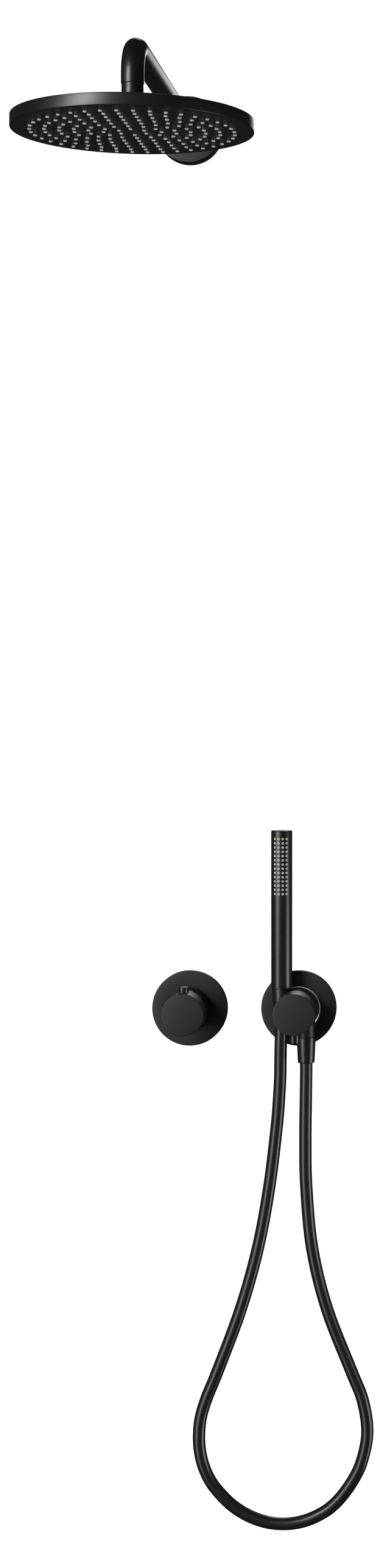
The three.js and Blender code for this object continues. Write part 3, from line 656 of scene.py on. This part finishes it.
def roundCover(name, centre, radius, depth, hole, replaced):
    inner = radius - coverSpec["wall"]
    back = depth - coverSpec["wall"]
    turnedPiece(name, [
        (hole, back, 0.1), (inner, back, 0.4), (inner, 0.0, 0.15),
        (radius, 0.0, 0.2), (radius, depth, 0.7), (hole, depth, 0.25),
    ], centre, outAxis, faceLacquer, "wall_set", "black_lacquer", (replaced,),
        coverSpec["sides"])


mixerCentre = place(0, 0, 0)
valveCentre = place(valveX, 0, 0)
roundCover("arm_cover", place(0, armZ, 0), coverSpec["armRadius"], coverSpec["armDepth"],
           coverSpec["armHole"], "arm_rosette")
roundCover("mixer_cover", mixerCentre, coverSpec["radius"], coverSpec["depth"],
           coverSpec["mixerHole"], "mixer_rosette")
roundCover("valve_cover", valveCentre, coverSpec["radius"], coverSpec["depth"],
           coverSpec["valveHole"], "valve_rosette")
print("arm and covers made")

# Ball stud under the arm
studSpec = {
    "drop": 42.3, "radius": 11.4, "length": 14.6, "neck": 6.0, "shank": 9.25,
    "shankLength": 10.0, "bore": 3.2, "ball": 9.0, "ballTop": 6.708, "ballBottom": -8.412,
    "ballSteps": 16, "sides": 80,
}
studTop = armZ - studSpec["drop"]
studCorners = [
    (studSpec["bore"], studSpec["shankLength"], 0.0),
    (studSpec["shank"], studSpec["shankLength"], 0.3), (studSpec["shank"], 0.0, 0.1),
    (studSpec["radius"], 0.0, 0.5), (studSpec["radius"], -studSpec["length"], 0.5),
    (studSpec["neck"], -studSpec["length"], 0.8),
]
for i in range(studSpec["ballSteps"] + 1):
    height = (studSpec["ballTop"]
              - (studSpec["ballTop"] - studSpec["ballBottom"]) * i / studSpec["ballSteps"])
    radius = math.sqrt(max(studSpec["ball"] ** 2 - height * height, 0.0))
    studCorners.append((radius, ballZ - studTop + height, 0.0))
turnedPiece("ball_stud_body", studCorners, place(0, studTop, armReach), upAxis, lacquer,
            "ball_stud", "black_lacquer", ("head_ball_stud", "stud_o_ring"), studSpec["sides"])

# Rain head: shell with rounded rim, and the nut above it that holds the ball
headSpec = {
    "radius": 125.0, "inner": 122.8, "thickness": 12.65, "wall": 1.6, "inlet": 5.0,
    "neck": 13.4, "neckBore": 11.2, "neckHeight": 6.45, "sides": 256,
}
headCentre = place(0, headTop, armReach)
turnedPiece("head_casing", [
    (headSpec["inlet"], -headSpec["wall"], 0.0), (headSpec["inner"], -headSpec["wall"], 0.3),
    (headSpec["inner"], -headSpec["thickness"], 0.02),
    (headSpec["radius"], -headSpec["thickness"], 0.6), (headSpec["radius"], 0.0, 0.9),
    (headSpec["neck"], 0.0, 0.8), (headSpec["neck"], headSpec["neckHeight"], 0.4),
    (headSpec["neckBore"], headSpec["neckHeight"], 0.2), (headSpec["neckBore"], 0.0, 0.1),
    (headSpec["inlet"], 0.0, 0.1),
], headCentre, upAxis, lacquer, "rain_head", "black_lacquer", ("head_shell",),
    headSpec["sides"])
unionSpec = {
    "radius": 17.0, "bore": 13.7, "hole": 8.64, "bottom": 0.3, "top": 16.44, "ceiling": 14.44,
}
turnedPiece("head_nut", [
    (unionSpec["bore"], unionSpec["bottom"], 0.1), (unionSpec["radius"], unionSpec["bottom"], 0.3),
    (unionSpec["radius"], unionSpec["top"], 0.8), (unionSpec["hole"], unionSpec["top"], 0.3),
    (unionSpec["hole"], unionSpec["ceiling"], 0.1), (unionSpec["bore"], unionSpec["ceiling"], 0.1),
], headCentre, upAxis, lacquer, "rain_head", "black_lacquer", ("head_union_nut",))

# The head's underside: a pierced plate with round holes in rings
plateSpec = {
    "radius": 122.76, "edgeSides": 192, "thickness": 1.8, "hole": 2.3, "holeSides": 20,
    "ringCounts": (6, 12, 18, 24, 30, 36, 40), "ringPitch": 15.0, "sharpAngle": 30.0,
}
nozzlePlaces = []
for ringNumber, count in enumerate(plateSpec["ringCounts"], 1):
    reach = plateSpec["ringPitch"] * ringNumber
    for i in range(count):
        angle = 2 * math.pi * i / count
        nozzlePlaces.append((reach * math.sin(angle), -reach * math.cos(angle)))


def circlePoints(x, y, radius, sides):
    points = []
    for i in range(sides):
        angle = 2 * math.pi * i / sides
        points.append(Vector((x + radius * math.cos(angle), y + radius * math.sin(angle), 0.0)))
    return points


edgeLoops = [circlePoints(0, 0, plateSpec["radius"], plateSpec["edgeSides"])]
for x, y in nozzlePlaces:
    edgeLoops.append(circlePoints(x, y, plateSpec["hole"], plateSpec["holeSides"]))
flatPoints = [point for loop in edgeLoops for point in loop]
upperShift = len(flatPoints)
triangles = tessellate_polygon(edgeLoops)
plateCentre = place(0, headBottom, armReach)
plateRise = Vector((0, 0, plateSpec["thickness"]))
vertices = [plateCentre + point * millimetre for point in flatPoints]
vertices += [plateCentre + (point + plateRise) * millimetre for point in flatPoints]
faces = [tuple(corners) for corners in triangles]
faces += [tuple(i + upperShift for i in corners) for corners in triangles]
loopStart = 0
for loop in edgeLoops:
    lower = range(loopStart, loopStart + len(loop))
    joinRings(faces, lower, [i + upperShift for i in lower])
    loopStart += len(loop)
dress(addPiece("head_plate", vertices, faces, [lacquer], "rain_head",
               sharpAngle=plateSpec["sharpAngle"]), "black_lacquer", "spray_plate")

# Silicone nozzles on their mat, each with a small bore
nozzleSpec = {
    "base": 2.1, "tip": 1.95, "length": 2.4, "round": 0.95, "bore": 0.45, "boreDepth": 1.6,
    "baseAt": 0.6, "root": 2.4, "sides": 24, "arcSteps": 3,
}
matSpec = {"radius": 122.5, "bottom": 2.1, "top": 3.3, "sides": 128}
boreFloor = -nozzleSpec["length"] + nozzleSpec["boreDepth"]
nozzleOutline = roundOutline([
    (0.0, boreFloor, 0.0), (nozzleSpec["bore"], boreFloor, 0.0),
    (nozzleSpec["bore"], -nozzleSpec["length"], 0.1),
    (nozzleSpec["tip"], -nozzleSpec["length"], nozzleSpec["round"]),
    (nozzleSpec["base"], nozzleSpec["baseAt"], 0.0), (nozzleSpec["base"], nozzleSpec["root"], 0.0),
    (0.0, nozzleSpec["root"], 0.0),
], arcSteps=nozzleSpec["arcSteps"])
nozzleSpots = [(plateCentre + Vector((x, y, 0.0)) * millimetre, upAxis)
               for x, y in nozzlePlaces]
vertices, faces, faceSlots = nozzleField(nozzleOutline, nozzleSpots, nozzleSpec["sides"])
matVertices, matFaces = turnShape([
    (0.0, matSpec["bottom"], 0.0), (matSpec["radius"], matSpec["bottom"], 0.1),
    (matSpec["radius"], matSpec["top"], 0.1), (0.0, matSpec["top"], 0.0),
], plateCentre, upAxis, matSpec["sides"])
matShift = len(vertices)
vertices += matVertices
faces += [tuple(i + matShift for i in face) for face in matFaces]
faceSlots += [0] * len(matFaces)
dress(addPiece("head_nozzles", vertices, faces, [rootShadedSilicone, boreShade], "rain_head",
               faceSlots=faceSlots), "silicone_grey", "nozzle_mat")
print("rain head made")

# Knobs: a cup with a chamfered front and a hub inside
knobSpec = {
    "radius": 24.7, "front": 76.85, "back": 47.16, "chamfer": 0.9, "inner": 22.5,
    "cupFloor": 72.85, "hub": 8.0, "hubBack": 52.85, "shaftHole": 4.3, "sides": 128,
}


def makeKnob(name, centre, body, replaced):
    radius, inner, hub = knobSpec["radius"], knobSpec["inner"], knobSpec["hub"]
    front, back = knobSpec["front"], knobSpec["back"]
    cupFloor, hubBack = knobSpec["cupFloor"], knobSpec["hubBack"]
    shaftHole = knobSpec["shaftHole"]
    turnedPiece(name, [
        (0.0, front, 0.0), (radius, front, knobSpec["chamfer"]), (radius, back, 0.15),
        (inner, back, 0.1), (inner, cupFloor, 0.3), (hub, cupFloor, 0.3), (hub, hubBack, 0.3),
        (shaftHole, hubBack, 0.2), (shaftHole, cupFloor, 0.1), (0.0, cupFloor, 0.0),
    ], centre, outAxis, faceLacquer, body, "black_lacquer", (replaced,), knobSpec["sides"],
        closed=False)


makeKnob("mixer_handle", mixerCentre, "mixer_control", "mixer_knob")
makeKnob("valve_handle", valveCentre, "valve_control", "valve_knob")

# Sleeve between the mixer's cover and its knob
sleeveSpec = {"inner": 22.7, "radius": 24.7, "back": 2.0, "front": 47.0, "sides": 128}
turnedPiece("mixer_collar", [
    (sleeveSpec["inner"], sleeveSpec["back"], 0.1), (sleeveSpec["radius"], sleeveSpec["back"], 0.1),
    (sleeveSpec["radius"], sleeveSpec["front"], 0.15),
    (sleeveSpec["inner"], sleeveSpec["front"], 0.1),
], mixerCentre, outAxis, faceLacquer, "wall_set", "black_lacquer", ("mixer_sleeve",),
    sleeveSpec["sides"])

# Pins with a thin stem in the knob's wall: one points up, the other down
pinSpec = {
    "stem": 3.0, "stemStart": 18.7, "stemEnd": 22.6, "radius": 5.9, "headStart": 22.9,
    "mixerRise": 6.9, "valveRise": 10.0, "sides": 64,
}


def makePin(name, x, rise, turned, body, replaced):
    stem, radius = pinSpec["stem"], pinSpec["radius"]
    top = knobSpec["radius"] + rise
    vertices, faces = turnShape([
        (0.0, pinSpec["stemStart"], 0.0), (stem, pinSpec["stemStart"], 0.2),
        (stem, pinSpec["stemEnd"], 0.0), (radius, pinSpec["headStart"], 0.2),
        (radius, top, 0.5), (0.0, top, 0.0),
    ], Vector((0, 0, 0)), upAxis, pinSpec["sides"])
    centre = place(x, 0, (knobSpec["front"] + knobSpec["back"]) / 2)
    turnAround = Matrix.Rotation(turned, 4, "Y")
    vertices = [centre + turnAround @ point for point in vertices]
    dress(addPiece(name, vertices, faces, [lacquer], body), "black_lacquer", replaced)


makePin("mixer_peg", 0.0, pinSpec["mixerRise"], 0.0, "mixer_control", "mixer_pin")
makePin("valve_peg", valveX, pinSpec["valveRise"], math.pi, "valve_control", "valve_pin")

# Thin bright ring round the valve's body, in front of its cover
ringSpec = {"inner": 25.0, "outer": 25.6, "back": 2.0, "front": 8.4, "sides": 128}
turnedPiece("valve_bright_ring", [
    (ringSpec["inner"], ringSpec["back"], 0.05), (ringSpec["outer"], ringSpec["back"], 0.05),
    (ringSpec["outer"], ringSpec["front"], 0.2), (ringSpec["inner"], ringSpec["front"], 0.1),
], valveCentre, outAxis, brightRing, "wall_set", "bright_ring", ("valve_trim_ring",),
    ringSpec["sides"])
print("knobs, sleeve, pins and ring made")


# Round solids that are added to or cut out of one another
def solidShape(name, corners, centre, axis, sides, material=faceLacquer, closed=False):
    vertices, faces = turnShape(corners, centre, axis, sides, closed)
    solid = addPiece(name, vertices, faces, [material])
    facesOut(solid)
    return solid


def applyBoolean(target, tool, operation):
    modifier = target.modifiers.new("shape", "BOOLEAN")
    modifier.operation = operation
    modifier.object = tool
    modifier.solver = "EXACT"
    graph = bpy.context.evaluated_depsgraph_get()
    result = bpy.data.meshes.new_from_object(target.evaluated_get(graph))
    target.modifiers.clear()
    target.data = result
    bpy.data.objects.remove(tool)


# Radius of the hand shower's nut at a height above the holder's middle, with some play
def coneRadius(height, extra):
    taper = nutSpec["top"] - nutSpec["bottom"]
    return nutSpec["top"] - taper * (nutSpec["handsetAt"] - height) / nutSpec["length"] + extra


# Valve body: a drum and an outlet collar, hollowed for the hand shower's nut
valveSpec = {
    "radius": 24.7, "back": 2.0, "front": 47.0, "sides": 160,
    "collar": 10.5, "collarLength": 32.2, "collarSides": 96,
    "boreReach": 27.0, "boreGap": 1.4, "boreSides": 96,
    "shaft": 4.35, "shaftFrom": -5.0, "shaftTo": 90.0, "shaftSides": 48,
    "frontRecess": 20.5, "frontFrom": 39.0, "frontTo": 60.0,
    "backRecess": 20.0, "backFrom": -5.0, "backTo": 11.0, "recessSides": 64,
    "sharpAngle": 28.0,
}
holderCentre = place(handsetX, 0, holderOut)
outletCentre = place(outletX, 0, holderOut)
valveBody = solidShape("valve_body_shape", [
    (0.0, valveSpec["back"], 0.0), (valveSpec["radius"], valveSpec["back"], 0.1),
    (valveSpec["radius"], valveSpec["front"], 0.15), (0.0, valveSpec["front"], 0.0),
], valveCentre, outAxis, valveSpec["sides"])
collar = solidShape("collar_shape", [
    (0.0, -valveSpec["collarLength"], 0.0),
    (valveSpec["collar"], -valveSpec["collarLength"], 0.35),
    (valveSpec["collar"], 0.0, 0.0), (0.0, 0.0, 0.0),
], outletCentre, upAxis, valveSpec["collarSides"])
applyBoolean(valveBody, collar, "UNION")
# Cut out of it: name, centre, axis, sides, from, to, and the radius at both ends
boreReach = valveSpec["boreReach"]
cuts = [
    ("bore_shape", holderCentre, upAxis, valveSpec["boreSides"], -boreReach, boreReach,
     coneRadius(-boreReach, valveSpec["boreGap"]), coneRadius(boreReach, valveSpec["boreGap"])),
    ("shaft_shape", valveCentre, outAxis, valveSpec["shaftSides"], valveSpec["shaftFrom"],
     valveSpec["shaftTo"], valveSpec["shaft"], valveSpec["shaft"]),
    ("recess_shape", valveCentre, outAxis, valveSpec["recessSides"], valveSpec["frontFrom"],
     valveSpec["frontTo"], valveSpec["frontRecess"], valveSpec["frontRecess"]),
    ("back_shape", valveCentre, outAxis, valveSpec["recessSides"], valveSpec["backFrom"],
     valveSpec["backTo"], valveSpec["backRecess"], valveSpec["backRecess"]),
]
for name, centre, axis, sides, low, high, lowRadius, highRadius in cuts:
    cutter = solidShape(name, [
        (0.0, low, 0.0), (lowRadius, low, 0.0), (highRadius, high, 0.0), (0.0, high, 0.0),
    ], centre, axis, sides)
    applyBoolean(valveBody, cutter, "DIFFERENCE")
smoothMesh(valveBody.data, valveSpec["sharpAngle"])
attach(valveBody, "wall_set")
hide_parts("valve_body")

# Plastic lining of the holder, cut open on the left as the body is
liningSpec = {
    "reach": 10.0, "innerGap": 0.3, "outerGap": 1.1, "sides": 96, "openFrom": -3.7,
    "openReach": 30.0, "sharpAngle": 28.0,
}
liningReach = liningSpec["reach"]
lining = solidShape("holder_lining", [
    (coneRadius(-liningReach, liningSpec["innerGap"]), -liningReach, 0.1),
    (coneRadius(-liningReach, liningSpec["outerGap"]), -liningReach, 0.2),
    (coneRadius(liningReach, liningSpec["outerGap"]), liningReach, 0.2),
    (coneRadius(liningReach, liningSpec["innerGap"]), liningReach, 0.1),
], holderCentre, upAxis, liningSpec["sides"], darkPlastic, closed=True)
openReach = liningSpec["openReach"] * millimetre
mouth = addPiece("mouth_shape", [
    (handsetX * millimetre + x, -holderOut * millimetre + y, z)
    for x in (-openReach, liningSpec["openFrom"] * millimetre)
    for y in (-openReach, openReach) for z in (-openReach, openReach)
], [(0, 1, 3, 2), (4, 6, 7, 5), (0, 4, 5, 1), (2, 3, 7, 6), (0, 2, 6, 4), (1, 5, 7, 3)],
    [darkPlastic], smooth=False)
facesOut(mouth)
applyBoolean(lining, mouth, "DIFFERENCE")
smoothMesh(lining.data, liningSpec["sharpAngle"])
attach(lining, "wall_set")
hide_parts("holder_liner")
print("valve body made")

# Hand shower: tube, cap with its groove, and the field of small nozzles
stickSpec = {
    "radius": 12.5, "inner": 11.0, "bottom": 26.3, "floor": 27.9, "bore": 9.62,
    "tubeTop": 212.6, "top": 213.9, "capFrom": 213.0, "plug": 10.7, "plugFrom": 207.9,
    "sides": 128,
}
turnedPiece("handset_tube", [
    (stickSpec["bore"], stickSpec["bottom"], 0.05),
    (stickSpec["radius"], stickSpec["bottom"], 0.4),
    (stickSpec["radius"], stickSpec["tubeTop"], 0.2),
    (stickSpec["inner"], stickSpec["tubeTop"], 0.1),
    (stickSpec["inner"], stickSpec["floor"], 0.1), (stickSpec["bore"], stickSpec["floor"], 0.1),
], holderCentre, upAxis, lacquer, "hand_shower", "black_lacquer", ("handset_body",),
    stickSpec["sides"])
turnedPiece("handset_top", [
    (0.0, stickSpec["plugFrom"], 0.0), (stickSpec["plug"], stickSpec["plugFrom"], 0.2),
    (stickSpec["plug"], stickSpec["capFrom"], 0.0),
    (stickSpec["radius"], stickSpec["capFrom"], 0.15),
    (stickSpec["radius"], stickSpec["top"], 0.35), (0.0, stickSpec["top"], 0.0),
], holderCentre, upAxis, lacquer, "hand_shower", "black_lacquer", ("handset_cap",),
    stickSpec["sides"], closed=False)

jetSpec = {
    "rows": 14, "top": 204.2, "pitch": 5.02, "angles": (-34.2, -11.4, 11.4, 34.2),
    "surface": 12.45, "outer": 1.38, "flare": 0.05, "bore": 0.52, "rise": 0.35,
    "boreDepth": 0.35, "root": 0.6, "sides": 16, "arcSteps": 3,
}
jetOutline = roundOutline([
    (0.0, -jetSpec["boreDepth"], 0.0), (jetSpec["bore"], -jetSpec["boreDepth"], 0.0),
    (jetSpec["bore"], jetSpec["rise"], 0.1), (jetSpec["outer"], jetSpec["rise"], 0.2),
    (jetSpec["outer"] + jetSpec["flare"], -jetSpec["root"], 0.0), (0.0, -jetSpec["root"], 0.0),
], arcSteps=jetSpec["arcSteps"])
upward = Vector((0.0, 0.0, 1.0))
jetSpots = []
for row in range(jetSpec["rows"]):
    height = jetSpec["top"] - row * jetSpec["pitch"]
    for angle in jetSpec["angles"]:
        turn = math.radians(angle)
        outward = Vector((math.sin(turn), -math.cos(turn), 0.0))
        across = Vector((math.cos(turn), math.sin(turn), 0.0))
        middle = holderCentre + (outward * jetSpec["surface"] + upward * height) * millimetre
        jetSpots.append((middle, (across, upward, outward)))
vertices, faces, faceSlots = nozzleField(jetOutline, jetSpots, jetSpec["sides"])
dress(addPiece("handset_jets", vertices, faces, [silicone, boreShade], "hand_shower",
               faceSlots=faceSlots), "silicone_grey", "handset_nozzle_insert")
print("hand shower made")

# Hidden pieces keep their CAD shapes and get the same recipes
hiddenLooks = [
    (brass, ("arm_wall_nipple", "mixer_housing", "mixer_cartridge_nut", "mixer_spindle",
             "valve_housing", "valve_spindle")),
    (brassUpright, ("outlet_hose_tail", "handset_hose_tail")),
    (lacquer, ("outlet_nipple", "handset_spigot")),
    (steel, ("mixer_grub_screw", "valve_grub_screw")),
    (darkPlastic, ("temperature_stop_ring", "valve_stop_ring", "chamber_cover")),
    (palePlastic, ("mixer_cartridge", "valve_cartridge", "ball_seat_upper", "ball_seat_lower",
                   "head_flow_regulator", "check_valve", "handset_flow_limiter")),
    (rubber, ("arm_grip_ring", "arm_wall_washer", "chamber_gasket", "mixer_wall_seal",
              "valve_wall_seal", "outlet_washer", "handset_washer")),
]
for material, names in hiddenLooks:
    for name in names:
        for materialSlot in solids[name].material_slots:
            materialSlot.material = material
print("hidden pieces dressed")
